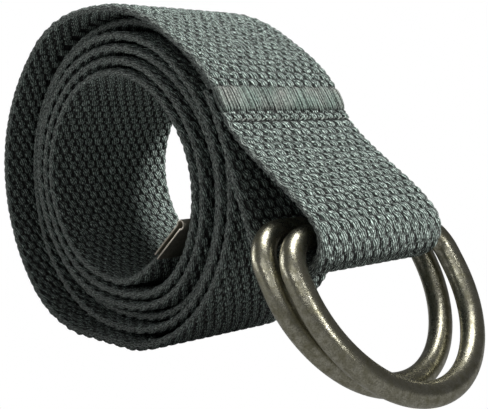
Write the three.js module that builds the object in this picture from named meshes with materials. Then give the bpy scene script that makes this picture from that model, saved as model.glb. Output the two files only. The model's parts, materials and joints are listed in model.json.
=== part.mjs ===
// Double ring belt, rolled up: one length of webbing, two D-shaped rings in a sewn loop and a folded metal
// tip. Millimetres, +Z up. The roll's axis runs along Y, the loop points towards +X, and the belt stands on
// Z = 0.

import * as THREE from "three";

// Webbing
const STRAP_WIDTH = 38;
const STRAP_THICKNESS = 2.3;
const STRAP_EDGE_ROUND = 0.6;

// Roll
const HOLE_RADIUS = 24.15;
const TURN_COUNT = 6;
const TURN_GAP = 0.45;
const ROLL_START_ANGLE = -45;
const ROLL_END_ANGLE = 21.1;
const ROLL_FLATTENING = 0.6;

// Sewn seam that closes the loop
const SEAM_GAP = 0.35;
const SEAM_TOP_ANGLE = 30;
const LOOP_REACH = 21.5;
const RETURN_HEADING = 115;
const RETURN_PULL = 0.33;
const DROP_HEADING = -34;
const DROP_PULL = 0.42;

// Rings, of round wire
const RING_WIRE = 5;
const RING_SIDE_PLAY = 2.2;
const RING_SIDE_STRAIGHT = 5.4;
const RING_INNER_DEPTH = 30.4;
const RING_LEAN = 33.85;
const BAR_APART = 2.5;
const BAR_RISE = 0.4;
const BAR_GAP = 0.4;

// Folded metal tip
const TIP_LENGTH = 11;
const TIP_STAND_OFF = 3.8;
const TIP_SETTLE = 45;
const TIP_PRESS = 0.5;
const TIP_EASE = 6;
const CLIP_LENGTH = 10;
const CLIP_SHEET = 0.5;
const CLIP_GAP = 0.3;
const CLIP_BEAD = 0.35;

// Fineness of the faceted surfaces
const LINE_STEP = 0.5;
const TURN_NUDGE = 0.002;
const SECTION_STEP = 4;
const SECTION_TURN = 12;
const RING_SECTIONS = 72;
const RING_SIDES = 14;
const ARC_STEPS = 12;

const degrees = Math.PI / 180;
const bendRadius = RING_WIRE / 2 + BAR_GAP + STRAP_THICKNESS / 2;
const seamDepth = STRAP_THICKNESS + SEAM_GAP;
const ringHalfWidth = (STRAP_WIDTH + RING_WIRE) / 2 + RING_SIDE_PLAY;
const ringDepth = RING_INNER_DEPTH + RING_WIRE;
const ringCorner = RING_WIRE / 2 + RING_SIDE_PLAY + STRAP_EDGE_ROUND;
const ringSide = ringCorner + RING_SIDE_STRAIGHT;

// Outline of the hole in eight directions, as shares of its radius, and how much air lies between the
// turns there, as shares of the gap.
const rollOutline = [
  { angle: 0, hole: 1.025, air: 1.0 },
  { angle: 45, hole: 0.9125, air: 1.45 },
  { angle: 90, hole: 0.91, air: 1.2 },
  { angle: 135, hole: 0.983, air: 1.0 },
  { angle: 180, hole: 1.044, air: 0.9 },
  { angle: 225, hole: 0.99, air: 0.9 },
  { angle: 270, hole: 0.948, air: 1.0 },
  { angle: 315, hole: 1.065, air: 0.9 },
];

// How far single turns stand off the packed roll, as shares of the thickness, and how far they have slid
// along its axis, as shares of the width. The places are degrees of roll before its outer end.
const turnShifts = [
  { before: 1149, slack: 0, aside: 0.066 },
  { before: 1059, slack: 0, aside: 0.118 },
  { before: 969, slack: 0, aside: 0.145 },
  { before: 879, slack: 0, aside: 0.105 },
  { before: 789, slack: 0, aside: 0.066 },
  { before: 609, slack: 0, aside: 0.066 },
  { before: 562, slack: 0.4, aside: 0.105 },
  { before: 519, slack: 0.65, aside: 0.145 },
  { before: 429, slack: 0.2, aside: 0.171 },
  { before: 382, slack: 0, aside: 0.13 },
  { before: 339, slack: 0, aside: 0.079 },
  { before: 249, slack: 0.35, aside: 0 },
  { before: 202, slack: 2.0, aside: 0 },
  { before: 159, slack: 1.87, aside: 0 },
  { before: 112, slack: 1.35, aside: 0 },
  { before: 69, slack: 0.17, aside: 0 },
  { before: 35, slack: 0, aside: 0 },
  { before: 4, slack: seamDepth / STRAP_THICKNESS, aside: 0 },
];

function fromAngle(angle) {
  return new THREE.Vector2(Math.cos(angle * degrees), Math.sin(angle * degrees));
}

function along(point, direction, distance) {
  return point.clone().addScaledVector(direction, distance);
}

function heading(from, to) {
  return to.clone().sub(from).normalize();
}

// A smooth closed curve through the outline's rows
function outlineValue(angle, column) {
  const count = rollOutline.length;
  const place = THREE.MathUtils.euclideanModulo(angle, 360) / (360 / count);
  const row = Math.floor(place);
  const t = place - row;
  const rowAt = (step) => rollOutline[(row + step + count) % count][column];
  const [before, a, b, after] = [-1, 0, 1, 2].map(rowAt);
  const slopeA = (b - before) / 2;
  const slopeB = (after - a) / 2;
  const rise = b - a;
  return a + t * (slopeA + t * (3 * rise - 2 * slopeA - slopeB + t * (slopeA + slopeB - 2 * rise)));
}

// Turns are counted from the inner end. This is where the outer turn passes an angle of 0 to 360 degrees.
function outerTurn(angle) {
  return TURN_COUNT + (ROLL_START_ANGLE - angle) / 360;
}

const lastTurn = outerTurn(ROLL_END_ANGLE);

// An eased step from each row to the next. Turns nearer the middle than the first row are like it.
function shiftValue(turn, column) {
  const before = 360 * (lastTurn - turn);
  const next = turnShifts.findIndex((row) => row.before < before);
  const to = turnShifts.at(next);
  if (next <= 0) return to[column];
  const from = turnShifts[next - 1];
  const eased = THREE.MathUtils.smoothstep(from.before - before, 0, from.before - to.before);
  return THREE.MathUtils.lerp(from[column], to[column], eased);
}

// Distance of the webbing's middle line from the roll's axis. The first turn starts further in, where the
// metal tip has pulled it off the others.
function rollRadius(turn) {
  const angle = ROLL_START_ANGLE - 360 * turn;
  const pitch = STRAP_THICKNESS + TURN_GAP * outlineValue(angle, "air");
  const packed = HOLE_RADIUS * outlineValue(angle, "hole") + pitch * turn;
  const standOff = TIP_STAND_OFF * (1 - THREE.MathUtils.smoothstep(360 * turn, 0, TIP_SETTLE));
  return packed + STRAP_THICKNESS * (0.5 + shiftValue(turn, "slack")) - standOff;
}

const rollHeight = rollRadius(outerTurn(270)) + STRAP_THICKNESS / 2 - ROLL_FLATTENING;

// The middle line as a point of the XZ plane. The outer turn is flat where it rests.
function rollPoint(turn, inwards = 0) {
  const direction = fromAngle(ROLL_START_ANGLE - 360 * turn);
  const point = along(new THREE.Vector2(0, rollHeight), direction, rollRadius(turn) - inwards);
  point.y = Math.max(point.y, STRAP_THICKNESS / 2);
  return point;
}

function rollTurns(fromTurn, toTurn) {
  const steps = Math.ceil((Math.abs(toTurn - fromTurn) * 2 * Math.PI * HOLE_RADIUS) / LINE_STEP);
  return Array.from({ length: steps + 1 }, (_, i) => THREE.MathUtils.lerp(fromTurn, toTurn, i / steps));
}

function arcPoints(centre, fromDegrees, toDegrees) {
  const steps = Math.ceil((Math.abs(toDegrees - fromDegrees) * degrees * bendRadius) / LINE_STEP);
  return Array.from({ length: steps + 1 }, (_, i) =>
    along(centre, fromAngle(THREE.MathUtils.lerp(fromDegrees, toDegrees, i / steps)), bendRadius)
  );
}

function bridgePoints(start, startHeading, end, endHeading, pull) {
  const span = start.distanceTo(end);
  const leave = along(start, startHeading, span * pull);
  const arrive = along(end, endHeading, -span * pull);
  return new THREE.CubicBezierCurve(start, leave, arrive, end).getPoints(Math.ceil(span / LINE_STEP));
}

// The bars lie side by side at the bottom of the loop, the back one nearer the roll. The front ring's lean
// sets their height, because its bow touches the surface below.
const packedReach = rollRadius(outerTurn(360)) + STRAP_THICKNESS / 2;
const barHeight = ringDepth * Math.cos(RING_LEAN * degrees) + RING_WIRE / 2;
const barFront = new THREE.Vector2(packedReach + LOOP_REACH, barHeight);
const barBack = new THREE.Vector2(barFront.x - RING_WIRE - BAR_APART, barHeight + BAR_RISE);

// Middle line of the whole strap, from its end in the tip to its other end under the seam
function strapRoute() {
  const route = [];
  const add = (points, aside) => points.forEach((point) => route.push({ point, aside }));

  const rollStart = rollPoint(0);
  const inwardHeading = heading(rollPoint(TURN_NUDGE), rollStart);
  const tipAside = shiftValue(0, "aside") * STRAP_WIDTH;
  const tipSteps = Math.ceil(TIP_LENGTH / LINE_STEP);
  for (let i = tipSteps; i > 0; i -= 1) {
    add([along(rollStart, inwardHeading, (TIP_LENGTH * i) / tipSteps)], tipAside);
  }
  for (const turn of rollTurns(0, lastTurn)) {
    add([rollPoint(turn)], shiftValue(turn, "aside") * STRAP_WIDTH);
  }

  const rollEnd = rollPoint(lastTurn);
  const rollHeading = heading(rollPoint(lastTurn - TURN_NUDGE), rollEnd);
  const wrapStart = DROP_HEADING + 90;
  const dropEnd = along(barFront, fromAngle(wrapStart), bendRadius);
  add(bridgePoints(rollEnd, rollHeading, dropEnd, fromAngle(DROP_HEADING), DROP_PULL).slice(1), 0);

  const bottom = THREE.MathUtils.radToDeg(heading(barFront, barBack).angle()) + 90 - 360;
  const wrapEnd = RETURN_HEADING + 90 - 360;
  add(arcPoints(barFront, wrapStart, bottom).slice(1), 0);
  add(arcPoints(barBack, bottom, wrapEnd), 0);

  const seamEnd = rollPoint(lastTurn, seamDepth);
  const seamHeading = heading(seamEnd, rollPoint(lastTurn - TURN_NUDGE, seamDepth));
  const returnStart = along(barBack, fromAngle(wrapEnd), bendRadius);
  add(bridgePoints(returnStart, fromAngle(RETURN_HEADING), seamEnd, seamHeading, RETURN_PULL).slice(1), 0);
  const seamTurns = rollTurns(lastTurn, outerTurn(SEAM_TOP_ANGLE)).slice(1);
  add(seamTurns.map((turn) => rollPoint(turn, seamDepth)), 0);
  return route;
}

// The places along the route where the webbing has a cross section, closer together in tight bends
function strapStations(route) {
  const stations = [route[0]];
  let travelled = 0;
  let turned = 0;
  for (let i = 1; i < route.length - 1; i += 1) {
    const before = heading(route[i - 1].point, route[i].point);
    const after = heading(route[i].point, route[i + 1].point);
    travelled += route[i].point.distanceTo(route[i - 1].point);
    turned += Math.abs(Math.asin(THREE.MathUtils.clamp(before.cross(after), -1, 1))) / degrees;
    if (travelled >= SECTION_STEP || turned >= SECTION_TURN) {
      stations.push(route[i]);
      travelled = 0;
      turned = 0;
    }
  }
  stations.push(route[route.length - 1]);
  return stations;
}

// A line whose frames keep the webbing's width along Y. The length of a normal carries the local thickness,
// because the webbing is pressed thin where the metal tip holds it.
class WebbingLine extends THREE.Curve {
  constructor(stations) {
    super();
    this.stations = stations;
  }

  getSpacedPoints() {
    return this.stations.map(({ point, aside }) => new THREE.Vector3(point.x, aside, point.y));
  }

  computeFrenetFrames() {
    const points = this.getSpacedPoints();
    const across = new THREE.Vector3(0, 1, 0);
    let distance = 0;
    const tangents = points.map((point, i) => {
      const behind = points[Math.max(i - 1, 0)];
      const ahead = points[Math.min(i + 1, points.length - 1)];
      return ahead.clone().sub(behind).setY(0).normalize();
    });
    const normals = tangents.map((tangent, i) => {
      if (i > 0) distance += points[i].distanceTo(points[i - 1]);
      const eased = THREE.MathUtils.smoothstep(distance, CLIP_LENGTH, CLIP_LENGTH + TIP_EASE);
      return across.clone().cross(tangent).multiplyScalar(THREE.MathUtils.lerp(TIP_PRESS, 1, eased));
    });
    return { tangents, normals, binormals: points.map(() => across.clone()) };
  }
}

function strapSection() {
  const halfThickness = STRAP_THICKNESS / 2;
  const halfWidth = STRAP_WIDTH / 2;
  const round = STRAP_EDGE_ROUND;
  const section = new THREE.Shape();
  section.moveTo(-halfThickness, -halfWidth + round);
  section.lineTo(-halfThickness + round, -halfWidth);
  section.lineTo(halfThickness - round, -halfWidth);
  section.lineTo(halfThickness, -halfWidth + round);
  section.lineTo(halfThickness, halfWidth - round);
  section.lineTo(halfThickness - round, halfWidth);
  section.lineTo(-halfThickness + round, halfWidth);
  section.lineTo(-halfThickness, halfWidth - round);
  section.closePath();
  return section;
}

function strapGeometry(stations) {
  const settings = { steps: stations.length - 1, extrudePath: new WebbingLine(stations) };
  return new THREE.ExtrudeGeometry(strapSection(), settings);
}

// Middle line of a ring: a straight bar, round corners, short sides and a bow. The bar's middle is the
// origin, and the bow hangs along -Z.
class RingLine extends THREE.Curve {
  constructor() {
    super();
    const outline = new THREE.Path();
    outline.moveTo(0, 0);
    outline.lineTo(ringHalfWidth - ringCorner, 0);
    outline.absarc(ringHalfWidth - ringCorner, -ringCorner, ringCorner, Math.PI / 2, 0, true);
    outline.lineTo(ringHalfWidth, -ringSide);
    outline.absellipse(0, -ringSide, ringHalfWidth, ringDepth - ringSide, 0, -Math.PI, true);
    outline.lineTo(-ringHalfWidth, -ringCorner);
    outline.absarc(-ringHalfWidth + ringCorner, -ringCorner, ringCorner, Math.PI, Math.PI / 2, true);
    outline.lineTo(0, 0);
    outline.arcLengthDivisions = 1200;
    this.outline = outline;
  }

  getPoint(t) {
    const { x, y } = this.outline.getPointAt(THREE.MathUtils.euclideanModulo(t, 1));
    return new THREE.Vector3(0, x, y);
  }
}

function ringGeometry() {
  return new THREE.TubeGeometry(new RingLine(), RING_SECTIONS, RING_WIRE / 2, RING_SIDES, true);
}

// The tip is one sheet folded over the end of the webbing, with a round bead along the fold. It lies along
// +X, with the end of the webbing at the origin.
function clipOutline() {
  const inner = (STRAP_THICKNESS * TIP_PRESS) / 2 + CLIP_GAP;
  const outer = inner + CLIP_SHEET;
  const bead = outer + CLIP_BEAD;
  const neck = -Math.sqrt(bead * bead - outer * outer);
  const outline = new THREE.Shape();
  outline.moveTo(-CLIP_LENGTH, -outer);
  outline.lineTo(neck, -outer);
  outline.absarc(0, 0, bead, Math.atan2(-outer, neck), Math.atan2(outer, neck), false);
  outline.lineTo(-CLIP_LENGTH, outer);
  outline.lineTo(-CLIP_LENGTH, inner);
  outline.lineTo(0, inner);
  outline.absarc(0, 0, inner, Math.PI / 2, -Math.PI / 2, true);
  outline.lineTo(-CLIP_LENGTH, -inner);
  outline.closePath();
  return outline;
}

function clipGeometry() {
  const settings = { depth: STRAP_WIDTH, bevelEnabled: false, curveSegments: ARC_STEPS };
  const geometry = new THREE.ExtrudeGeometry(clipOutline(), settings);
  return geometry.translate(0, 0, -STRAP_WIDTH / 2).rotateX(Math.PI / 2);
}

function namedMesh(name, geometry, material) {
  const mesh = new THREE.Mesh(geometry, material);
  mesh.name = name;
  return mesh;
}

const webbing = new THREE.MeshStandardMaterial({ color: 0x5d6f6a, roughness: 0.95, metalness: 0 });
const agedNickel = new THREE.MeshStandardMaterial({ color: 0x8c877c, roughness: 0.35, metalness: 1 });
const tipNickel = new THREE.MeshStandardMaterial({ color: 0x9a9489, roughness: 0.4, metalness: 1 });

const belt = new THREE.Group();
const route = strapRoute();
const strapLine = strapStations(route);
belt.add(namedMesh("strap", strapGeometry(strapLine), webbing));

// Each ring leans out from its bar until its bow touches the surface below.
const rings = [
  { name: "ring_front", bar: barFront },
  { name: "ring_back", bar: barBack },
];
for (const { name, bar } of rings) {
  const ring = namedMesh(name, ringGeometry(), agedNickel);
  ring.position.set(bar.x, 0, bar.y);
  ring.rotation.y = -Math.acos((bar.y - RING_WIRE / 2) / ringDepth);
  belt.add(ring);
}

const clip = namedMesh("tip_clip", clipGeometry(), tipNickel);
const [tipEnd, tipNext] = strapLine;
clip.position.set(tipEnd.point.x, tipEnd.aside, tipEnd.point.y);
clip.rotation.y = -heading(tipNext.point, tipEnd.point).angle();
belt.add(clip);

// The origin is the middle of the footprint, on the surface below.
belt.updateMatrixWorld(true);
const box = new THREE.Box3().setFromObject(belt, true);
const middle = box.getCenter(new THREE.Vector3());
belt.position.set(-middle.x, -middle.y, -box.min.z);

export default belt;
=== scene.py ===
# %% [markdown]
# # Double ring belt, rolled up
#
# The belt is one length of thick cotton webbing. Its one end is folded round two D-shaped rings and stitched
# down, and its other end has a folded metal tip. It lies rolled up on its outer turn. This lesson dresses the
# CAD model: the webbing gets its real weave, the seam its threads, and the metal its age.

# %% Load the frame and keep its box
import json
from math import acos, asin, atan2, ceil, cos, degrees, hypot, pi, radians, sin
import bmesh
import bpy
import numpy as np
from mathutils import Matrix, Vector


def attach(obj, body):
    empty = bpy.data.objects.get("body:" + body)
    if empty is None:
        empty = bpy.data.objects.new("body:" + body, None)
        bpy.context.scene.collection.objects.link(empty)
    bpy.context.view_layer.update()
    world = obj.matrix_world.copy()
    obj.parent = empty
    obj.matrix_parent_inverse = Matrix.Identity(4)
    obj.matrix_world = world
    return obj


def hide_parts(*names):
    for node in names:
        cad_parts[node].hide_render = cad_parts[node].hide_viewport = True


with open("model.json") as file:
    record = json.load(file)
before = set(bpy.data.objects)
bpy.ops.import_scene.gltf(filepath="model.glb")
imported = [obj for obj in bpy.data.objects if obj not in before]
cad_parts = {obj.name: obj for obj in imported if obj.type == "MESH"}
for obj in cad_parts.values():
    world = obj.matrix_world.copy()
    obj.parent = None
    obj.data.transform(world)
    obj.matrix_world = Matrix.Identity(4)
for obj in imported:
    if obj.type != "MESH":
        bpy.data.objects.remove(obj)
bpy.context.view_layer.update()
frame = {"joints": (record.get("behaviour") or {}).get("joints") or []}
scene = bpy.context.scene
MM = 0.001

# %% [markdown]
# ## Where the webbing runs
#
# The webbing's middle line is a spiral of almost six turns, then a loop round both ring bars, then a short
# end under the seam. It could be drawn by hand as a curve, but the CAD solid follows a rule, and the cloth
# has to lie in the same place. So the rule is worked out again here, in millimetres, from the same sizes.

# %% Sizes of the webbing, the roll and the loop
WEB_WIDTH, WEB_THICK = 38.0, 2.3
HOLE_RADIUS, TURN_COUNT, TURN_GAP = 24.15, 6, 0.45
ROLL_START, ROLL_END, ROLL_FLATTENING = -45.0, 21.1, 0.6
SEAM_GAP, SEAM_TOP = 0.35, 30.0
LOOP_REACH, RETURN_HEADING, RETURN_PULL = 21.5, 115.0, 0.33
RING_WIRE, RING_PLAY, RING_STRAIGHT, RING_DEPTH_INSIDE, RING_LEAN = 5.0, 2.2, 5.4, 30.4, 33.85
BAR_APART, BAR_RISE = 2.5, 0.4
TIP_LENGTH, TIP_STAND_OFF, TIP_SETTLE, TIP_PRESS, TIP_EASE = 11.0, 3.8, 45.0, 0.5, 6.0
CLIP_REACH, TIP_TUCK, TUCK_EASE = 11.6, 0.07, 0.5
EDGE_ROUND = 0.6

seam_depth = WEB_THICK + SEAM_GAP
ring_depth = RING_DEPTH_INSIDE + RING_WIRE
ring_half_width = (WEB_WIDTH + RING_WIRE) / 2 + RING_PLAY
ring_corner = RING_WIRE / 2 + RING_PLAY + EDGE_ROUND
ring_side = ring_corner + RING_STRAIGHT

# The CAD model's loop is drawn tight round the bars. The photographed one has some slack: it is rounder in
# front, and it hangs lower.
DROP_HEADING, DROP_PULLS, BEND_RADIUS = -66.0, (0.228, 0.19), 5.5
SLACK_FRONT, SLACK_BACK = (-0.1, -0.69), (0, -1.03)
print(f"webbing {WEB_WIDTH} x {WEB_THICK} mm, rings {2 * ring_half_width:.1f} x {ring_depth:.1f} mm")

# %% How the hole is shaped, and which turns have slid or stand off
OUTLINE_STEP = 45
roll_outline = [  # angle, share of the hole's radius, share of the air between turns
    (0, 1.025, 1.0), (45, 0.9125, 1.45), (90, 0.91, 1.2), (135, 0.983, 1.0),
    (180, 1.044, 0.9), (225, 0.99, 0.9), (270, 0.948, 1.0), (315, 1.065, 0.9),
]
turn_shifts = [  # degrees before the outer end, stand-off in thicknesses, slide in widths
    (1149, 0, 0.066), (1059, 0, 0.118), (969, 0, 0.145), (879, 0, 0.105), (789, 0, 0.066),
    (609, 0, 0.066), (562, 0.4, 0.105), (519, 0.65, 0.145), (429, 0.2, 0.171), (382, 0, 0.13),
    (339, 0, 0.079), (249, 0.35, 0), (202, 2.0, 0), (159, 1.87, 0), (112, 1.35, 0),
    (69, 0.17, 0), (35, 0, 0), (4, seam_depth / WEB_THICK, 0),
]


def eased(value, start, end):
    t = np.clip((value - start) / (end - start), 0, 1)
    return t * t * (3 - 2 * t)


def outline_value(angle, column):
    place = (angle % 360) / OUTLINE_STEP
    row, t = int(place), place - int(place)
    before, a, b, after = [roll_outline[(row + step) % len(roll_outline)][column] for step in (-1, 0, 1, 2)]
    slope_a, slope_b, rise = (b - before) / 2, (after - a) / 2, b - a
    return a + t * (slope_a + t * (3 * rise - 2 * slope_a - slope_b + t * (slope_a + slope_b - 2 * rise)))


def outer_turn(angle):
    return TURN_COUNT + (ROLL_START - angle) / 360


last_turn = outer_turn(ROLL_END)


def shift_value(turn, column):
    before = 360 * (last_turn - turn)
    if before >= turn_shifts[0][0]:
        return turn_shifts[0][column]
    for a, b in zip(turn_shifts, turn_shifts[1:]):
        if b[0] < before:
            return a[column] + (b[column] - a[column]) * eased(a[0] - before, 0, a[0] - b[0])
    return turn_shifts[-1][column]


print(f"the roll has {last_turn:.2f} turns round a hole of about {HOLE_RADIUS} mm radius")

# %% The roll and the loop as lines
NUDGE, ROUTE_STEP, ARC_POINTS, ROLL_POINTS, RETURN_POINTS = 0.002, 0.25, 60, 4400, 40


def direction(angle):
    return np.array([cos(radians(angle)), sin(radians(angle))])


def unit(vector):
    return vector / hypot(*vector)


def roll_radius(turn):
    angle = ROLL_START - 360 * turn
    pitch = WEB_THICK + TURN_GAP * outline_value(angle, 2)
    packed = HOLE_RADIUS * outline_value(angle, 1) + pitch * turn
    tip_stand_off = TIP_STAND_OFF * (1 - eased(360 * turn, 0, TIP_SETTLE))
    return packed + WEB_THICK * (0.5 + shift_value(turn, 1)) - tip_stand_off


roll_height = roll_radius(outer_turn(270)) + WEB_THICK / 2 - ROLL_FLATTENING


def roll_point(turn, inwards=0):
    point = np.array([0, roll_height]) + direction(ROLL_START - 360 * turn) * (roll_radius(turn) - inwards)
    point[1] = max(point[1], WEB_THICK / 2)
    return point


def bridge(start, start_heading, end, end_heading, pull, end_pull=None):
    span = hypot(*(end - start))
    a, b = start + start_heading * span * pull, end - end_heading * span * (end_pull or pull)
    t = np.linspace(0, 1, ceil(span / ROUTE_STEP))[:, None]
    return (1 - t) ** 3 * start + 3 * (1 - t) ** 2 * t * a + 3 * (1 - t) * t * t * b + t ** 3 * end


def bar_arc(centre, start, end):
    angles = np.linspace(start, end, ARC_POINTS)
    return np.array([centre + direction(angle) * BEND_RADIUS for angle in angles])


bar_height = ring_depth * cos(radians(RING_LEAN)) + RING_WIRE / 2
bar_front = np.array([roll_radius(outer_turn(360)) + WEB_THICK / 2 + LOOP_REACH, bar_height])
bar_back = bar_front + np.array([-RING_WIRE - BAR_APART, BAR_RISE])
print("bars at", bar_front.round(2), bar_back.round(2), "mm from the roll's middle and the table")

# %% One list of points from the tip to the hidden end
route, route_slide, marks = [], [], {}


def add_points(points, slides):
    route.extend(points)
    route_slide.extend(slides if hasattr(slides, "__len__") else [slides] * len(points))


roll_begin, first_slide = roll_point(0), shift_value(0, 2) * WEB_WIDTH
inward = unit(roll_begin - roll_point(NUDGE))
add_points([roll_begin + inward * x for x in np.arange(TIP_LENGTH, 0, -ROUTE_STEP)], first_slide)
turns = np.linspace(0, last_turn, ROLL_POINTS)
first_roll_point = len(route)
add_points([roll_point(turn) for turn in turns], [shift_value(turn, 2) * WEB_WIDTH for turn in turns])
marks["roll_end"] = len(route) - 1

wrap_start, wrap_end = DROP_HEADING + 90, RETURN_HEADING + 90 - 360
bend_front, bend_back = bar_front + SLACK_FRONT, bar_back + SLACK_BACK
bottom_angle = degrees(atan2(*(bend_back - bend_front)[::-1])) + 90 - 360
roll_heading = unit(roll_point(last_turn) - roll_point(last_turn - NUDGE))
drop_end = bend_front + direction(wrap_start) * BEND_RADIUS
add_points(bridge(roll_point(last_turn), roll_heading, drop_end, direction(DROP_HEADING), *DROP_PULLS)[1:], 0)
marks["fold_start"] = len(route) - 1
add_points(bar_arc(bend_front, wrap_start, bottom_angle)[1:], 0)
add_points(bar_arc(bend_back, bottom_angle, wrap_end), 0)
marks["fold_end"] = len(route) - 1
seam_in = roll_point(last_turn, seam_depth)
seam_heading = unit(roll_point(last_turn - NUDGE, seam_depth) - seam_in)
return_start = bend_back + direction(wrap_end) * BEND_RADIUS
add_points(bridge(return_start, direction(RETURN_HEADING), seam_in, seam_heading, RETURN_PULL)[1:], 0)
under_seam = np.linspace(last_turn, outer_turn(SEAM_TOP), RETURN_POINTS)[1:]
add_points([roll_point(turn, seam_depth) for turn in under_seam], 0)
print(len(route), "points")

# %% Put the line where the CAD model has it, and measure along it
front_bar_x = frame["joints"][0]["pos_m"][0] / MM
roll_to_frame = front_bar_x - bar_front[0]
route = np.array(route) + [roll_to_frame, 0]
route_slide = np.array(route_slide)
travelled = np.r_[0, np.cumsum(np.hypot(*np.diff(route, axis=0).T))]
marks = {name: travelled[i] for name, i in marks.items()}
roll_travelled = travelled[first_roll_point:first_roll_point + len(turns)]
kept = np.r_[True, np.diff(travelled) > 1e-6]
route, route_slide, travelled = route[kept], route_slide[kept], travelled[kept]
web_length = travelled[-1]
LINE_STEP = 0.3


def at_turn(turn):
    return float(np.interp(turn, turns, roll_travelled))


def line_at(s):
    """Middle line, its outward direction and its slide along Y, at distances s from the tip's end."""

    def at(x):
        return np.stack([np.interp(x, travelled, route[:, 0]), np.interp(x, travelled, route[:, 1])], axis=-1)

    along = at(np.clip(s + LINE_STEP, 0, web_length)) - at(np.clip(s - LINE_STEP, 0, web_length))
    along /= np.linalg.norm(along, axis=-1, keepdims=True)
    return at(s), np.stack([-along[..., 1], along[..., 0]], axis=-1), np.interp(s, travelled, route_slide)


print(f"webbing {web_length:.0f} mm long, seam at {marks['roll_end']:.0f} mm, shift {roll_to_frame:.3f} mm")

# %% [markdown]
# ## The weave
#
# Belt webbing of this kind is a plain weave of thick, soft yarns: about 25 run along each face and cover the
# ones that cross them, so both faces show round grains in a chequered order, with dark pits between. The
# grains could be a picture or a bump only, but this webbing is coarse, its outline is knobbly and its pits
# hold real shade. So the grains are shaped in the mesh; the material adds the fine strands and painted pit
# shade.
# Hand and loom are never even, so each grain is a little higher, lower or further aside than the next.

# %% The height of the weave at any place
ROW_PITCH, EDGE_RADIUS, GIRTH_COLUMNS = 2.12, WEB_THICK / 2, 56
FLAT_WIDTH = WEB_WIDTH - 2 * EDGE_RADIUS
EDGE_ARC = pi * EDGE_RADIUS
GIRTH = 2 * (FLAT_WIDTH + EDGE_ARC)
COLUMN_PITCH = GIRTH / GIRTH_COLUMNS
YARN_RISE, YARN_HEIGHT, YARN_SLANT, PIT_FLOOR = 0.36, 0.42, 0.05, -0.12
YARN_HALF_WIDTH, GRAIN_MIDDLE, GRAIN_SWELL = 0.84, 0.76, 0.24
RISE_POWER, ROUND_POWER = 0.7, 0.4
UNEVEN_HEIGHT, UNEVEN_WIDTH, UNEVEN_PLACE = 0.1, 0.06, 0.06
GRAIN_TOP = YARN_RISE + YARN_HEIGHT


def grain_chance(row, column, seed):
    """A steady value from -1 to 1 for each grain, from the usual sine hash."""
    return 2 * np.modf(np.abs(np.sin(row * 12.9898 + column * 78.233 + seed)) * 43758.5453)[0] - 1


def weave_height(rows, columns):
    """Height in mm below the grains' tops, which are 0. Rows and columns count the crossings."""
    best = np.full(np.broadcast(rows, columns).shape, PIT_FLOOR)
    middle = np.round(columns)
    for step in (-1, 0, 1):
        yarn = middle + step
        strand = yarn % GIRTH_COLUMNS
        grain = np.round((rows + strand) / 2)
        wave, slope = np.cos(pi * (rows + yarn)), np.sin(pi * (rows + yarn))
        higher, wider, aside = [grain_chance(grain, strand, seed) for seed in (1, 2, 3)]
        lift = YARN_RISE * np.sign(wave) * np.abs(wave) ** RISE_POWER * (1 + UNEVEN_HEIGHT * higher)
        half = YARN_HALF_WIDTH * (GRAIN_MIDDLE + GRAIN_SWELL * wave) * (1 + UNEVEN_WIDTH * wider)
        centre = yarn + YARN_SLANT * slope + UNEVEN_PLACE * aside
        profile = np.clip(1 - ((columns - centre) / half) ** 2, 0, 1) ** ROUND_POWER
        best = np.maximum(best, np.where(profile > 0, lift + YARN_HEIGHT * profile, PIT_FLOOR))
    return best - GRAIN_TOP


print(f"yarns {COLUMN_PITCH:.2f} mm apart, grains every {2 * ROW_PITCH:.1f} mm, {GRAIN_TOP:.2f} mm deep")

# %% [markdown]
# ## Places on the cloth
#
# The webbing, its stitches and its crease all need the same thing: a place in the room for a distance along
# the belt, a distance round its cross section and a height above the cloth. One function answers that, so a
# thread laid on the cloth can't miss it. Distances round start at the near edge of the outer face.

# %% From places on the cloth to places in the room
def girth_frame(girth):
    """Offset across and outwards, and the outward direction's two parts, at distances round the section."""
    girth = np.asarray(girth, float) % GIRTH
    far = np.clip((girth - FLAT_WIDTH) / EDGE_RADIUS, 0, pi)
    near = np.clip((girth - 2 * FLAT_WIDTH - EDGE_ARC) / EDGE_RADIUS, 0, pi)
    flat = np.clip(girth, 0, FLAT_WIDTH) - np.clip(girth - FLAT_WIDTH - EDGE_ARC, 0, FLAT_WIDTH)
    side, facing = np.sin(far + near), np.cos(far + near)
    return flat - FLAT_WIDTH / 2 + EDGE_RADIUS * side, EDGE_RADIUS * facing, side, facing


def on_cloth(s, girth, height):
    """Places in mm for distances along and round the webbing and heights above the grains' tops."""
    point, outward, slide = line_at(s)
    across, out, side, facing = girth_frame(girth)
    press = TIP_PRESS + (1 - TIP_PRESS) * eased(s, CLIP_REACH, CLIP_REACH + TIP_EASE)
    tuck = 1 - TIP_TUCK * eased(-s, -CLIP_REACH - TUCK_EASE, TUCK_EASE - CLIP_REACH)
    offset = (out + height * facing) * press
    x = point[..., 0] + outward[..., 0] * offset
    y = slide + (across + height * side) * tuck
    return np.stack([x, y, point[..., 1] + outward[..., 1] * offset], -1)


corners = on_cloth(np.array([0, web_length]), np.array([0, FLAT_WIDTH]), 0)
print("the cloth runs from", corners[0].round(1), "to", corners[1].round(1))

# %% The seam's places along the webbing, and the fold's
roll_end = marks["roll_end"]
SATIN_START, SATIN_END, SATIN_DEPTH, SATIN_EASE = roll_end - 6.1, roll_end - 0.1, 0.52, 0.3
CREASE, CREASE_DEPTH, CREASE_WIDTH = roll_end + 2.15, 0.4, 0.34


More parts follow.
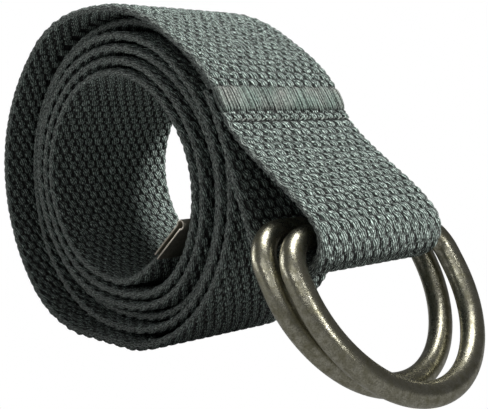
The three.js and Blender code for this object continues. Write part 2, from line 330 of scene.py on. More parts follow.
def seam_press(s, girth):
    """How deep the crease presses the cloth's outer face, in mm, and how fully the satin band does, 0 to 1."""
    _, _, side, facing = girth_frame(girth)
    crease = CREASE_DEPTH * np.exp(-((s - CREASE) / CREASE_WIDTH) ** 2) * (facing > 0.5)
    band = np.clip(facing + 0.6, 0, 1) * eased(s, SATIN_START - SATIN_EASE, SATIN_START + SATIN_EASE)
    return crease, band * eased(-s, -SATIN_END - SATIN_EASE, SATIN_EASE - SATIN_END)


# Round the bars the outer face is stretched, which flattens its grains; the painted shade in their pits mostly
# stays, a little paler.
FOLD_START, FOLD_END, FOLD_EASE = marks["fold_start"] + 1, marks["fold_end"], 5
FOLD_FLATTENING, FOLD_SHADE_PALING = 0.45, 0.4
print(f"satin stitches from {SATIN_START:.0f} to {SATIN_END:.0f} mm, crease at {CREASE:.0f} mm")

# %% [markdown]
# ## A length of webbing
#
# Each piece starts as a flat grid, as cloth does: one direction runs along the belt, the other once round its
# cross section. Its long sides are then merged, which makes a flat tube with rounded edges, and every vertex
# is lifted by the weave and carried to the middle line. A sweep of a curve would be shorter, but it couldn't
# follow the yarns, and a simulation would lose them. Faces that no one can see get few columns.

# %% A mesh of grids, laid where a table of places says
def linked(mesh):
    piece = bpy.data.objects.new(mesh.name, mesh)
    scene.collection.objects.link(piece)
    return piece


def laid_grids(name, places, row_values):
    """places is (grids, rows, columns, 3) in mm. The first and last column of each grid are merged."""
    grids, rows, columns = places.shape[:3]
    bm = bmesh.new()
    for _ in range(grids):
        bmesh.ops.create_grid(bm, x_segments=columns - 1, y_segments=rows - 1, size=1)
    mesh = bpy.data.meshes.new(name)
    bm.to_mesh(mesh)
    bm.free()
    mesh.vertices.foreach_set("co", (places * MM).ravel())
    for label, values in row_values.items():
        values = np.broadcast_to(values, places.shape[:3]).astype(np.float32)
        mesh.attributes.new(label, "FLOAT", "POINT").data.foreach_set("value", values.ravel())
    return mesh


def close_and_link(mesh, sharp_rims):
    """Merge the seam of each tube, close its ends with one face each if the rims are sharp, and link it."""
    bm = bmesh.new()
    bm.from_mesh(mesh)
    bmesh.ops.remove_doubles(bm, verts=bm.verts, dist=1e-7)
    rims = [e for e in bm.edges if e.is_boundary]
    if sharp_rims:
        bmesh.ops.edgeloop_fill(bm, edges=rims)
        for edge in rims:
            edge.smooth = False
    bmesh.ops.recalc_face_normals(bm, faces=bm.faces)
    for face in bm.faces:
        face.smooth = len(face.verts) <= 4
    bm.to_mesh(mesh)
    bm.free()
    piece = linked(mesh)
    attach(piece, "webbing")
    return piece


# %% A piece of webbing between two distances
EDGE_STEPS, EDGE_RELIEF = 5, 0.5


def webbing(name, start, end, row_step, outer, inner):
    edge = np.linspace(0, EDGE_ARC, EDGE_STEPS + 1)[:-1]
    girth = np.r_[
        outer[:-1], FLAT_WIDTH + edge, FLAT_WIDTH + EDGE_ARC + inner[:-1], GIRTH - EDGE_ARC + edge, GIRTH,
    ]
    s = np.linspace(start, end, max(2, round((end - start) / row_step)) + 1)
    s, girth = np.meshgrid(s, girth, indexing="ij")
    _, _, side, _ = girth_frame(girth)
    rows, columns = s / ROW_PITCH, girth / COLUMN_PITCH + 0.5
    relief = weave_height(rows, columns) * (1 - EDGE_RELIEF * np.abs(side))
    pressed = FOLD_FLATTENING * eased(s, FOLD_START - FOLD_EASE, FOLD_START)
    pressed = pressed * eased(-s, -FOLD_END - FOLD_EASE, -FOLD_END)
    crease, band = seam_press(s, girth)
    relief = relief * (1 - band) - SATIN_DEPTH * band - crease
    # depth drives the material's painted shade in the pits, the crease and under the satin band; in the fold
    # it is paler.
    depth = -relief / GRAIN_TOP * (1 - FOLD_SHADE_PALING * pressed)
    places = on_cloth(s, girth, relief * (1 - pressed))
    mesh = laid_grids(name, places[None], {"depth": depth[None], "edge": np.abs(side)[None]})
    uv = mesh.uv_layers.new(name="yarns")
    corner = np.zeros(len(mesh.loops), np.int32)
    mesh.loops.foreach_get("vertex_index", corner)
    uv.data.foreach_set("uv", np.stack([rows, columns], axis=-1).reshape(-1, 2)[corner].ravel())
    piece = close_and_link(mesh, sharp_rims=True)
    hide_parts("strap")
    print(name, f"{end - start:.0f} mm long,", len(mesh.polygons), "faces")
    return piece


# %% The four lengths of the belt
PEEK = 7.0  # the width of an inner turn that can peek out beside the next
SEEN_COLUMNS, PEEK_COLUMNS, HIDDEN_COLUMNS = 123, 16, 8
FINE_ROW, OUTER_ROW, COARSE_ROW = ROW_PITCH / 5, ROW_PITCH / 4.5, ROW_PITCH / 3
seen = np.linspace(0, FLAT_WIDTH, SEEN_COLUMNS)
margin = np.linspace(0, PEEK, PEEK_COLUMNS)
between = np.linspace(PEEK, FLAT_WIDTH - PEEK, HIDDEN_COLUMNS)[1:-1]
hidden = np.r_[margin, between, FLAT_WIDTH - margin[::-1]]
inner_end, outer_start, loop_start = at_turn(1.05), at_turn(4.78), roll_end - 10
lengths = {
    "webbing_first_turn": (0, inner_end, FINE_ROW, hidden, seen),
    "webbing_middle_turns": (inner_end, outer_start, COARSE_ROW, hidden, hidden),
    "webbing_outer_turn": (outer_start, loop_start, OUTER_ROW, seen, hidden),
    "webbing_loop": (loop_start, web_length, FINE_ROW, seen, seen),
}
web_pieces = [webbing(name, *facts) for name, facts in lengths.items()]

# %% [markdown]
# ## The seam's stitches
#
# The seam is a band of satin stitch: about a hundred fine threads side by side, each about 6 mm long and
# lying along the belt, from edge to edge and round the near edge. Below it the cloth is creased by a row of
# slanted stitches. Stripes in the material would look flat, because single threads stand up, bend and part.
# So each thread is a closed tube, thin at its ends, where it dips into the cloth.

# %% Threads laid on the cloth
THREAD_SIDES, UP_STEP = 6, 0.05


def threads(name, s, girth, height, radius, tone):
    """Tables of (threads, points): places along and round the cloth, and each thread's height and radius."""
    middle = on_cloth(s, girth, height)
    up = on_cloth(s, girth, height + UP_STEP) - middle
    up /= np.linalg.norm(up, axis=-1, keepdims=True)
    along = np.gradient(middle, axis=1)
    aside = np.cross(along, up)
    aside /= np.linalg.norm(aside, axis=-1, keepdims=True)
    turn = np.linspace(0, 2 * pi, THREAD_SIDES + 1)[None, None, :, None]
    ring = np.cos(turn) * up[:, :, None] + np.sin(turn) * aside[:, :, None]
    places = middle[:, :, None] + radius[:, :, None, None] * ring
    mesh = laid_grids(name, places, {"tone": tone[:, None, None]})
    piece = close_and_link(mesh, sharp_rims=False)
    print(name, len(s), "threads,", len(mesh.polygons), "faces")
    return piece


def tapered(radius, belly, power):
    """Each thread's radius along it: full in the middle, nothing at both ends."""
    radius = radius * belly ** power
    radius[:, [0, -1]] = 0
    return radius


# %% The satin band
rng = np.random.default_rng(7)


def spread(amount, count):
    """One random value from -amount to amount for each of count threads."""
    return rng.uniform(-amount, amount, (count, 1))


THREAD_PITCH, THREAD_RADIUS, THREAD_POINTS, EDGE_WRAP = 0.4, 0.178, 11, 2.4
BAND_START, BAND_END, END_SPREAD = SATIN_START - 0.25, SATIN_END + 0.3, 0.35
LEAN, GROUP_LEAN, GROUPS, THREAD_LEAN, ASIDE, BEND = 0.45, 0.3, 13, 0.12, 0.09, 0.3
SINK, UNEVEN_SINK, BELLY, END_DIP, SATIN_TAPER = 0.2, 0.1, 0.08, 0.55, 0.35
girths = np.arange(-EDGE_WRAP, FLAT_WIDTH + EDGE_WRAP, THREAD_PITCH)
count = len(girths)
t = np.linspace(0, 1, THREAD_POINTS)[None, :]
belly = np.sin(pi * t)
late, early = spread(END_SPREAD, count), spread(END_SPREAD, count)
satin_s = (BAND_START + early) * (1 - t) + (BAND_END + late) * t
group_places = np.linspace(-3, FLAT_WIDTH + 3, GROUPS)
group_lean = np.interp(girths, group_places, rng.uniform(-GROUP_LEAN, GROUP_LEAN, GROUPS))[:, None]
slant = LEAN + group_lean + spread(THREAD_LEAN, count)
satin_girth = girths[:, None] + spread(ASIDE, count) + slant * (t - 0.5) - BEND * belly
satin_height = -SINK + spread(UNEVEN_SINK, count) + BELLY * belly - END_DIP * (1 - belly) ** 4
satin_radius = tapered(THREAD_RADIUS + rng.uniform(-0.035, 0.03, (count, 1)), belly, SATIN_TAPER)
satin_tone = rng.uniform(0, 0.5, count) + 0.5 * (np.arange(count) % 2)
satin = threads("satin_stitches", satin_s, satin_girth, satin_height, satin_radius, satin_tone)

# %% The slanted row in the crease
ROW_LENGTH, ROW_WIDTH, ROW_RADIUS, ROW_SINK, ROW_BELLY, ROW_TAPER = 0.95, 1.25, 0.2, 0.42, 0.3, 0.4
girths = np.arange(0.5, FLAT_WIDTH, COLUMN_PITCH)
count, t = len(girths), np.linspace(0, 1, 8)[None, :]
belly = np.sin(pi * t)
row_s = CREASE + 0.5 - ROW_LENGTH * t + spread(0.12, count)
row_girth = girths[:, None] + (COLUMN_PITCH * ROW_WIDTH) * (t - 0.5) + spread(0.15, count)
row_height = -ROW_SINK + ROW_BELLY * belly + spread(0.06, count)
row_radius = tapered(ROW_RADIUS + spread(0.04, count), belly, ROW_TAPER)
crease_row = threads("crease_stitches", row_s, row_girth, row_height, row_radius, rng.uniform(0, 0.6, count))

print("declared", len(web_pieces), "lengths of one belt")

# %% [markdown]
# ## Yarn in the material
#
# Each grain is a soft yarn of a few strands that lie along the belt with a slight twist. The group below
# reads the yarn count from the UV map and puts out the strands' height, a mask of the strands' tops, long
# streaks and a slow change of tone, so that every cloth on the belt can use it with its own values.

# %% Helpers for groups and materials
def new_group(name, inputs, outputs):
    tree = bpy.data.node_groups.new(name, "ShaderNodeTree")
    for label, kind, value in inputs:
        socket = tree.interface.new_socket(name=label, in_out="INPUT", socket_type=kind)
        if value is not None:
            socket.default_value = value
    for label in outputs:
        tree.interface.new_socket(name=label, in_out="OUTPUT", socket_type="NodeSocketFloat")
    return tree, tree.nodes.new("NodeGroupInput"), tree.nodes.new("NodeGroupOutput")


def new_material(name):
    material = bpy.data.materials.new(name)
    material.use_nodes = True
    tree = material.node_tree
    return material, tree, tree.nodes["Principled BSDF"]


def set_or_link(tree, socket, value):
    if isinstance(value, bpy.types.NodeSocket):
        tree.links.new(value, socket)
    elif value is not None:
        socket.default_value = value


def dress(pieces, material):
    for piece in pieces:
        piece.data.materials.append(material)
    print(material.name, "on", [piece.name for piece in pieces])


# %% Helpers for values and patterns
def math_node(tree, operation, a, b=None, c=None, clamp=False):
    node = tree.nodes.new("ShaderNodeMath")
    node.operation, node.use_clamp = operation, clamp
    for socket, value in zip(node.inputs, (a, b, c)):
        set_or_link(tree, socket, value)
    return node.outputs[0]


def contrast(tree, value, gain, offset):
    """value * gain + offset, kept from 0 to 1."""
    return math_node(tree, "MULTIPLY_ADD", value, gain, offset, clamp=True)


def noise_node(tree, vector, scale, detail=3.0, roughness=0.55):
    node = tree.nodes.new("ShaderNodeTexNoise")
    node.inputs["Scale"].default_value = scale
    node.inputs["Detail"].default_value = detail
    node.inputs["Roughness"].default_value = roughness
    tree.links.new(vector, node.inputs["Vector"])
    return node.outputs["Fac"]


def stretched(tree, vector, scale):
    node = tree.nodes.new("ShaderNodeMapping")
    node.inputs["Scale"].default_value = scale
    tree.links.new(vector, node.inputs["Vector"])
    return node.outputs["Vector"]


def attribute(tree, name):
    node = tree.nodes.new("ShaderNodeAttribute")
    node.attribute_name = name
    return node.outputs["Fac"]


# %% Helpers for colours and bumps
def colour(r, g, b):
    linear = [((c / 255 + 0.055) / 1.055) ** 2.4 if c > 10 else c / 255 / 12.92 for c in (r, g, b)]
    return (*linear, 1.0)


def mix_colour(tree, factor, a, b):
    node = tree.nodes.new("ShaderNodeMix")
    node.data_type = "RGBA"
    for label, kind, value in (("Factor", "VALUE", factor), ("A", "RGBA", a), ("B", "RGBA", b)):
        socket = next(s for s in node.inputs if s.name == label and s.type == kind)
        set_or_link(tree, socket, value)
    return next(s for s in node.outputs if s.type == "RGBA")


def add_bump(tree, shader, height_socket, strength, distance):
    bump = tree.nodes.new("ShaderNodeBump")
    bump.inputs["Strength"].default_value = strength
    bump.inputs["Distance"].default_value = distance
    tree.links.new(height_socket, bump.inputs["Height"])
    tree.links.new(bump.outputs["Normal"], shader.inputs["Normal"])


# %% A shader group for strands of yarn
yarn_tree, yarn_in, yarn_out = new_group(
    "Yarn strands",
    [
        ("Yarns", "NodeSocketVector", None), ("Strands", "NodeSocketFloat", 3.0),
        ("Twist", "NodeSocketFloat", -1.7),
    ],
    ["Height", "Strand Top", "Streak", "Tone"],
)
yarns = yarn_in.outputs["Yarns"]
split = yarn_tree.nodes.new("ShaderNodeSeparateXYZ")
yarn_tree.links.new(yarns, split.inputs[0])
wobble, fray = noise_node(yarn_tree, yarns, 1.7, 2.0), noise_node(yarn_tree, yarns, 3.4, 3.0, 0.6)
across_yarn = math_node(yarn_tree, "MULTIPLY", split.outputs["Y"], yarn_in.outputs["Strands"])
twisted = math_node(yarn_tree, "MULTIPLY_ADD", split.outputs["X"], yarn_in.outputs["Twist"], across_yarn)
wavy = math_node(yarn_tree, "MULTIPLY_ADD", wobble, 1.6, twisted)
wave = math_node(yarn_tree, "SINE", math_node(yarn_tree, "MULTIPLY", wavy, 2 * pi))
ridge = contrast(yarn_tree, wave, 0.85, 0.5)
streak = noise_node(yarn_tree, stretched(yarn_tree, yarns, (2.6, 5.4, 1)), 1.0, 4.0, 0.72)
for label, value in {
    "Height": math_node(yarn_tree, "MULTIPLY_ADD", fray, 0.9, ridge),
    "Strand Top": math_node(yarn_tree, "MULTIPLY", ridge, contrast(yarn_tree, fray, 4.5, -1.75)),
    "Streak": contrast(yarn_tree, streak, 9.0, -4.2),
    "Tone": contrast(yarn_tree, noise_node(yarn_tree, yarns, 0.6, 4.0), 2.0, -0.5),
}.items():
    yarn_tree.links.new(value, yarn_out.inputs[label])
print("yarn group:", [s.name for s in yarn_tree.interface.items_tree])

# %% Cotton, from the yarn group
# Painted light on the cotton: highlight and shade on the strands, shade in the pits, highlight and shade on
# the edges' streaks. SLOW_TONE is the cloth's own slow change of tone.
STRAND_GROOVE_SHADE, STRAND_TOP_HIGHLIGHT, SLOW_TONE = colour(26, 38, 33), colour(234, 255, 247), colour(86, 104, 96)
PIT_SHADE, EDGE_STREAK_SHADE, EDGE_STREAK_HIGHLIGHT = colour(5, 8, 7), colour(12, 16, 15), colour(212, 224, 217)
cotton, tree, shader = new_material("sage_cotton")
yarn_map = tree.nodes.new("ShaderNodeUVMap")
yarn_map.uv_map = "yarns"
strands = tree.nodes.new("ShaderNodeGroup")
strands.node_tree = yarn_tree
strands.inputs["Strands"].default_value = 2.3
strands.inputs["Twist"].default_value = -1.5
tree.links.new(yarn_map.outputs["UV"], strands.inputs["Yarns"])
# The strands' tops get a painted highlight and the grooves between them painted shade, round the cotton's own
# sage colour.
strand_light_and_shade = mix_colour(tree, strands.outputs["Strand Top"], STRAND_GROOVE_SHADE, STRAND_TOP_HIGHLIGHT)
tone_share = math_node(tree, "MULTIPLY", strands.outputs["Tone"], 0.25)
toned = mix_colour(tree, tone_share, strand_light_and_shade, SLOW_TONE)
# Painted shade where the cloth lies deep: in the pits between grains, in the crease and under the satin band.
in_pit = contrast(tree, attribute(tree, "depth"), 3.1, -0.85)
face_colour = mix_colour(tree, in_pit, toned, PIT_SHADE)
# On the edges, the pale streaks are painted highlights on the strands, and the dark between them is painted
# shade.
edge_streak_light_and_shade = mix_colour(tree, strands.outputs["Streak"], EDGE_STREAK_SHADE, EDGE_STREAK_HIGHLIGHT)
on_edge = contrast(tree, attribute(tree, "edge"), 1.7, -0.85)
tree.links.new(mix_colour(tree, on_edge, face_colour, edge_streak_light_and_shade), shader.inputs["Base Color"])
shader.inputs["Roughness"].default_value = 0.86
shader.inputs["Specular IOR Level"].default_value = 0.25
shader.inputs["Sheen Weight"].default_value = 0.12
shader.inputs["Sheen Roughness"].default_value = 0.5
relief = math_node(tree, "MULTIPLY_ADD", strands.outputs["Streak"], 0.5, strands.outputs["Height"])
add_bump(tree, shader, relief, strength=1.0, distance=0.34 * MM)
dress(web_pieces, cotton)

# %% [markdown]
# ## Sewing thread
#
# The seam's thread is smoother and a little greyer than the webbing. It has no twist that shows at this size,
# but each thread catches the light in its own way, so the tone comes from a value that each thread carries.
# Fine fibres roughen it, and a slow tint turns it from greyer to greener and back along the seam.

# %% Thread, one tone per thread
THREAD_DARK, THREAD_GREY, THREAD_GREEN = colour(38, 43, 40), colour(166, 171, 165), colour(150, 170, 161)
thread, tree, shader = new_material("seam_thread")
place = tree.nodes.new("ShaderNodeTexCoord").outputs["Object"]
fibre = noise_node(tree, place, 2400.0, 3.0, 0.7)
own_tone = math_node(tree, "MULTIPLY_ADD", attribute(tree, "tone"), 0.7, -1.1)
mixed_tone = contrast(tree, fibre, 2.4, own_tone)
tint = contrast(tree, noise_node(tree, place, 170.0, 2.0), 3.4, -1.2)
pale_thread = mix_colour(tree, tint, THREAD_GREY, THREAD_GREEN)
tree.links.new(mix_colour(tree, mixed_tone, THREAD_DARK, pale_thread), shader.inputs["Base Color"])
shader.inputs["Roughness"].default_value = 0.6
shader.inputs["Sheen Weight"].default_value = 0.1
dress((satin, crease_row), thread)

# %% [markdown]
# ## The rings
#
# Each ring is round steel wire bent to a D, with an aged nickel finish. A curve with a round bevel would do,
# but a spin leaves rounder corners: one circle of the wire's section is pushed along the bar, turned round
# each corner, pushed down the sides and turned round the bow. The corners are rounder than in the CAD model,
# because the webbing's round edge leaves room for them.

# %% A D-ring from one circle
WIRE_SIDES, LOOK_CORNER = 40, 7.8
BAR_STEPS, CORNER_STEPS, SIDE_STEPS, BOW_STEPS = 10, 16, 3, 60


def only(kind, parts):
    return [part for part in parts if isinstance(part, kind)]


def push(bm, edges, move, steps):
    for _ in range(steps):
        new = bmesh.ops.extrude_edge_only(bm, edges=edges)["geom"]
        verts = only(bmesh.types.BMVert, new)
        bmesh.ops.translate(bm, verts=verts, vec=Vector(move) / steps)
        edges = [e for e in only(bmesh.types.BMEdge, new) if all(v in verts for v in e.verts)]
    return edges


def turn_round(bm, edges, centre, angle, steps):
    verts = list(dict.fromkeys(v for e in edges for v in e.verts))  # each one once, always in this order
    spun = bmesh.ops.spin(
        bm, geom=edges + verts, cent=centre, axis=(1, 0, 0), angle=angle, steps=steps,
        use_merge=False, use_duplicate=False,
    )["geom_last"]
    return only(bmesh.types.BMEdge, spun)


def smooth_piece(name, bm):
    for face in bm.faces:
        face.smooth = True
    mesh = bpy.data.meshes.new(name)
    bm.to_mesh(mesh)
    bm.free()
    return linked(mesh)


# %% Two rings that lean on the table
def ring_piece(name, cad_node, body, bar, rise_angle):
    bm = bmesh.new()
    rim = bmesh.ops.create_circle(bm, cap_ends=False, segments=WIRE_SIDES, radius=RING_WIRE / 2)["verts"]
    bmesh.ops.rotate(bm, verts=rim, cent=(0, 0, 0), matrix=Matrix.Rotation(pi / 2, 3, "X"))
    straight = ring_half_width - LOOK_CORNER
    edges = push(bm, list(bm.edges), (0, straight, 0), BAR_STEPS)
    edges = turn_round(bm, edges, (0, straight, -LOOK_CORNER), -pi / 2, CORNER_STEPS)
    edges = push(bm, edges, (0, 0, LOOK_CORNER - ring_side), SIDE_STEPS)
    before = set(bm.verts)
    edges = turn_round(bm, edges, (0, 0, -ring_side), -pi, BOW_STEPS)
    bow = [v for v in bm.verts if v not in before]
    stretch = (ring_depth - ring_side) / ring_half_width
    bmesh.ops.scale(bm, verts=bow, vec=(1, 1, stretch), space=Matrix.Translation((0, 0, ring_side)))
    edges = push(bm, edges, (0, 0, ring_side - LOOK_CORNER), SIDE_STEPS)
    edges = turn_round(bm, edges, (0, -straight, -LOOK_CORNER), -pi / 2, CORNER_STEPS)
    push(bm, edges, (0, straight, 0), BAR_STEPS)
    bmesh.ops.remove_doubles(bm, verts=bm.verts, dist=1e-3)
    bmesh.ops.recalc_face_normals(bm, faces=bm.faces)
    bmesh.ops.scale(bm, verts=bm.verts, vec=(MM, MM, MM))
    bmesh.ops.rotate(bm, verts=bm.verts, cent=(0, 0, 0), matrix=Matrix.Rotation(rise_angle, 3, "Y"))
    bmesh.ops.translate(bm, verts=bm.verts, vec=(bar[0] * MM, 0, bar[1] * MM))
    piece = smooth_piece(name, bm)
    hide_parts(cad_node)
    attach(piece, body)
    print(name, len(piece.data.polygons), "faces,", [round(v / MM, 1) for v in piece.dimensions], "mm")
    return piece


rings = []
for name, node, body, bar in (
    ("front_ring_wire", "ring_front", "front_ring", bar_front),
    ("back_ring_wire", "ring_back", "back_ring", bar_back),
):
    lean = -acos((bar[1] - RING_WIRE / 2) / ring_depth)
    rings.append(ring_piece(name, node, body, bar + [roll_to_frame, 0], lean))

# %% [markdown]
# ## The tip
#
# The tip is one thin sheet of metal folded over the webbing's end and pressed shut. Its fold is rolled into a
# round, open bead, so from the side it looks like a keyhole, with light on its thin edges and dark between
# them. It could be cut from a solid, but it is made as it is in a workshop: a bent line becomes a sheet, and
# the sheet gets its thickness. It reaches a little further along the webbing than the CAD model's clip.

# %% The folded tip's sheet
CLIP_METAL, CLIP_HALF, BEAD_RADIUS, BEAD_PLACE, CLIP_EDGE = 0.4, 0.82, 1.2, -0.25, 0.08
BEAD_STEPS, SHARP_ANGLE = 28, radians(35)
bead_angle = pi - asin(CLIP_HALF / BEAD_RADIUS)
bead_start = BEAD_PLACE - BEAD_RADIUS * cos(bead_angle)
bm = bmesh.new()
corner = bmesh.ops.create_vert(bm, co=(CLIP_REACH, -WEB_WIDTH / 2, CLIP_HALF))["vert"][0]
new = bmesh.ops.extrude_vert_indiv(bm, verts=[corner])["verts"]
bmesh.ops.translate(bm, verts=new, vec=(bead_start - CLIP_REACH, 0, 0))
bent = bmesh.ops.spin(
    bm, geom=new, cent=(BEAD_PLACE, 0, 0), axis=(0, 1, 0), angle=-2 * bead_angle, steps=BEAD_STEPS,
    use_merge=False, use_duplicate=False,
)["geom_last"]
new = bmesh.ops.extrude_vert_indiv(bm, verts=only(bmesh.types.BMVert, bent))["verts"]
bmesh.ops.translate(bm, verts=new, vec=(CLIP_REACH - bead_start, 0, 0))
wide = bmesh.ops.extrude_edge_only(bm, edges=list(bm.edges))["geom"]
bmesh.ops.translate(bm, verts=only(bmesh.types.BMVert, wide), vec=(0, WEB_WIDTH, 0))
bmesh.ops.recalc_face_normals(bm, faces=bm.faces)
bmesh.ops.solidify(bm, geom=list(bm.faces), thickness=CLIP_METAL)
print("a folded sheet with", len(bm.faces), "faces")

# %% The tip on the webbing's end
tip_point, tip_outward, tip_slide = line_at(0)
tip_along = unit(line_at(1)[0] - tip_point)
tip_place = Matrix((
    (tip_along[0], 0, tip_outward[0], tip_point[0]), (0, 1, 0, tip_slide),
    (tip_along[1], 0, tip_outward[1], tip_point[1]), (0, 0, 0, 1),
))
bmesh.ops.transform(bm, matrix=Matrix.Scale(MM, 4) @ tip_place, verts=bm.verts)
bmesh.ops.remove_doubles(bm, verts=bm.verts, dist=1e-6)
sharp = [e for e in bm.edges if e.is_manifold and e.calc_face_angle() > SHARP_ANGLE]
bmesh.ops.bevel(
    bm, geom=sharp, offset=CLIP_EDGE * MM, offset_type="OFFSET", segments=2, affect="EDGES", profile=0.5,
    material=-1,
)
bmesh.ops.recalc_face_normals(bm, faces=bm.faces)
open_edges = sum(not e.is_manifold for e in bm.edges)
tip = smooth_piece("folded_tip", bm)
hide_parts("tip_clip")
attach(tip, "webbing")
print(tip.name, len(tip.data.polygons), "faces,", open_edges, "open edges")

# %% [markdown]
# ## Aged nickel
#
# The plating is worn and tarnished: olive grey with brown in it, mottled by soft darker and lighter patches,
# with fine specks and shallow dents. It is all in the material, because nothing of it shows in the outline.
# The tip has the same plate, paler and a little rougher, so it shares the group with other values.

# %% A shader group for aged plate
age_tree, age_in, age_out = new_group(
    "Aged plate",
    [("Place", "NodeSocketVector", None), ("Patch Scale", "NodeSocketFloat", 260.0)],
    ["Tarnish", "Wear", "Dents"],
)
where = age_in.outputs["Place"]
patches = noise_node(age_tree, where, 260.0, 6.0, 0.68)
age_tree.links.new(age_in.outputs["Patch Scale"], patches.node.inputs["Scale"])
speckle = noise_node(age_tree, where, 2900.0, 4.0, 0.75)
for label, value in {
    "Tarnish": contrast(age_tree, patches, 3.2, -1.2),
    "Wear": contrast(age_tree, speckle, 4.2, -1.75),
    "Dents": noise_node(age_tree, where, 900.0, 2.0, 0.5),
}.items():
    age_tree.links.new(value, age_out.inputs[label])
print("plate group:", [s.name for s in age_tree.interface.items_tree])

# %% Metal for the rings and for the tip
WORN_SHARE, AGE_ROUGHNESS, WEAR_DENTS = 0.5, 0.12, 0.12


def aged_metal(name, patch_scale, roughness, bright, tarnished, worn):
    material, tree, shader = new_material(name)
    place = tree.nodes.new("ShaderNodeTexCoord")
    age = tree.nodes.new("ShaderNodeGroup")
    age.node_tree = age_tree
    age.inputs["Patch Scale"].default_value = patch_scale
    tree.links.new(place.outputs["Object"], age.inputs["Place"])
    tarnish, wear, dents = [age.outputs[label] for label in ("Tarnish", "Wear", "Dents")]
    base = mix_colour(tree, tarnish, bright, tarnished)
    speckled = mix_colour(tree, math_node(tree, "MULTIPLY", wear, WORN_SHARE), base, worn)
    tree.links.new(speckled, shader.inputs["Base Color"])
    shader.inputs["Metallic"].default_value = 1.0
    rough = math_node(tree, "MULTIPLY_ADD", tarnish, AGE_ROUGHNESS, roughness)
    rough = math_node(tree, "MULTIPLY_ADD", wear, AGE_ROUGHNESS, rough)
    tree.links.new(rough, shader.inputs["Roughness"])
    bumps = math_node(tree, "MULTIPLY_ADD", wear, WEAR_DENTS, dents)
    add_bump(tree, shader, bumps, strength=0.16, distance=0.3 * MM)
    return material


ring_metal = aged_metal(
    "aged_nickel", patch_scale=560.0, roughness=0.21,
    bright=colour(200, 197, 180), tarnished=colour(146, 142, 116), worn=colour(76, 74, 60),
)
tip_metal = aged_metal(
    "tip_nickel", patch_scale=320.0, roughness=0.3,
    bright=colour(214, 209, 196), tarnished=colour(160, 154, 138), worn=colour(96, 92, 82),
)
dress(rings, ring_metal)
dress([tip], tip_metal)

# %% [markdown]
# ## The stage
#
# The photograph is taken from the right of the roll, a little above the table. Floor and background are pure
# white, with no horizon. A floor that the camera sees would have to be lit to exactly that white, so this one
# only throws light back, and the camera sees the white surroundings instead.

# %% Camera
CAMERA_PLACE, CAMERA_PITCH, CAMERA_HEADING = (168.175, -152.584, 57.94), -0.1062917, 0.8080845
FOCAL_PIXELS, PHOTO_WIDTH, SENSOR_WIDTH = 976.617, 488, 36.0
camera_data = bpy.data.cameras.new("camera")
camera_data.sensor_width = SENSOR_WIDTH
camera_data.lens = FOCAL_PIXELS * SENSOR_WIDTH / PHOTO_WIDTH
camera_data.clip_start = 0.01
camera = bpy.data.objects.new("camera", camera_data)
camera.location = Vector(CAMERA_PLACE) * MM
camera.rotation_euler = (pi / 2 + CAMERA_PITCH, 0, CAMERA_HEADING)
scene.collection.objects.link(camera)
scene.camera = camera
print(f"camera {camera.location.length:.3f} m from the origin, lens {camera_data.lens:.1f} mm")

# %% Floor that only reflects
FLOOR_SIZE, FLOOR_DROP, FLOOR_GREY, FLOOR_GLOW = 3.0, 0.0001, 0.3, 0.29


def two_shaders(tree, factor, a, b):
    mixed = tree.nodes.new("ShaderNodeMixShader")
    for socket, source in zip(mixed.inputs, (factor, a, b)):
        tree.links.new(source, socket)
    return mixed.outputs[0]


bm = bmesh.new()
bmesh.ops.create_grid(bm, x_segments=1, y_segments=1, size=FLOOR_SIZE)
floor_mesh = bpy.data.meshes.new("floor")
bm.to_mesh(floor_mesh)
bm.free()
floor = linked(floor_mesh)
floor.location.z = -FLOOR_DROP
floor.visible_camera = False
pale, tree, shader = new_material("pale_floor")
dim = tree.nodes.new("ShaderNodeBsdfDiffuse")
dim.inputs["Color"].default_value = (FLOOR_GREY, FLOOR_GREY, FLOOR_GREY, 1)
glow = tree.nodes.new("ShaderNodeEmission")
glow.inputs["Strength"].default_value = FLOOR_GLOW
rays = tree.nodes.new("ShaderNodeLightPath")
surface = two_shaders(tree, rays.outputs["Is Glossy Ray"], dim.outputs[0], glow.outputs[0])
tree.links.new(surface, tree.nodes["Material Output"].inputs["Surface"])
tree.nodes.remove(shader)
dress([floor], pale)

# %% [markdown]
# ## The light
#
# One large, sun-like light from the upper right gives the loop its bright face and leaves the edges in shade,
# and a weak fill from the front opens that shade. Cloth needs no more, but metal shows whatever stands
# round it. So six softboxes shed no light on the cloth and are only mirrored: they draw the metal's bands.

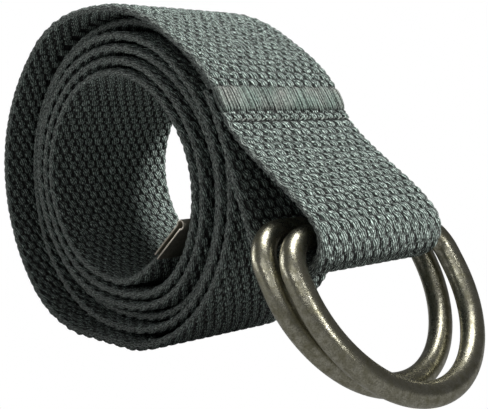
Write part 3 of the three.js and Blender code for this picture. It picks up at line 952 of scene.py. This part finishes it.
# %% Lights
SUN_STRENGTH, SUN_ANGLE, SUN_COLOUR, SUN_PLACE = 6.6, radians(14), (1.0, 0.99, 0.97), (0.62, 0.2, 0.8)
FILL_SIZE, FILL_POWER, FILL_PLACE = 0.5, 0.95, (0.08, -0.88, 0.45)
ROLL_MIDDLE, RINGS_MIDDLE = (0, 0, 0.04), (0.05, 0, 0.02)
softboxes = {  # place and size in metres, power in watts
    "upper softbox": ((0.0, 0.06, 0.76), (0.36, 0.46), 3.6),
    "front softbox": ((0.12, -0.8, 0.42), (0.12, 0.16), 0.35),
    "wide softbox": ((0.33, -0.65, 0.58), (0.45, 0.45), 0.62),
    "right softbox": ((0.71, -0.23, 0.41), (0.09, 0.3), 1.2),
    "left softbox": ((-0.62, -0.62, 0.05), (0.3, 0.24), 0.5),
    "rim strip": ((-0.8, -0.3, 0.12), (0.1, 0.5), 1.6),
}


def aim(name, data, place, target):
    light = bpy.data.objects.new(name, data)
    light.location = Vector(place)
    light.rotation_euler = (Vector(target) - Vector(place)).to_track_quat("-Z", "Y").to_euler()
    scene.collection.objects.link(light)
    return light


sun_data = bpy.data.lights.new("key", "SUN")
sun_data.energy, sun_data.angle, sun_data.color = SUN_STRENGTH, SUN_ANGLE, SUN_COLOUR
aim("key", sun_data, SUN_PLACE, ROLL_MIDDLE).visible_glossy = False
for name, (place, size, power) in softboxes.items():
    data = bpy.data.lights.new(name, "AREA")
    data.shape, data.size, data.size_y, data.energy = "RECTANGLE", *size, power
    aim(name, data, place, RINGS_MIDDLE).visible_diffuse = False
fill_data = bpy.data.lights.new("front fill", "AREA")
fill_data.shape, fill_data.size, fill_data.energy = "SQUARE", FILL_SIZE, FILL_POWER
aim("front fill", fill_data, FILL_PLACE, ROLL_MIDDLE).visible_glossy = False
print("lights:", sorted(light.name for light in bpy.data.lights))

# %% Surroundings, white to the camera and dim to everything else
world = bpy.data.worlds.new("studio")
world.use_nodes = True
scene.world = world
tree = world.node_tree
dim_sky, white_sky = tree.nodes["Background"], tree.nodes.new("ShaderNodeBackground")
for background, strength in ((dim_sky, 0.1), (white_sky, 1.0)):
    background.inputs["Color"].default_value = (1, 1, 1, 1)
    background.inputs["Strength"].default_value = strength
rays = tree.nodes.new("ShaderNodeLightPath")
surface = two_shaders(tree, rays.outputs["Is Camera Ray"], dim_sky.outputs[0], white_sky.outputs[0])
tree.links.new(surface, tree.nodes["World Output"].inputs["Surface"])
scene.view_settings.view_transform = "Standard"
print("world:", world.name)
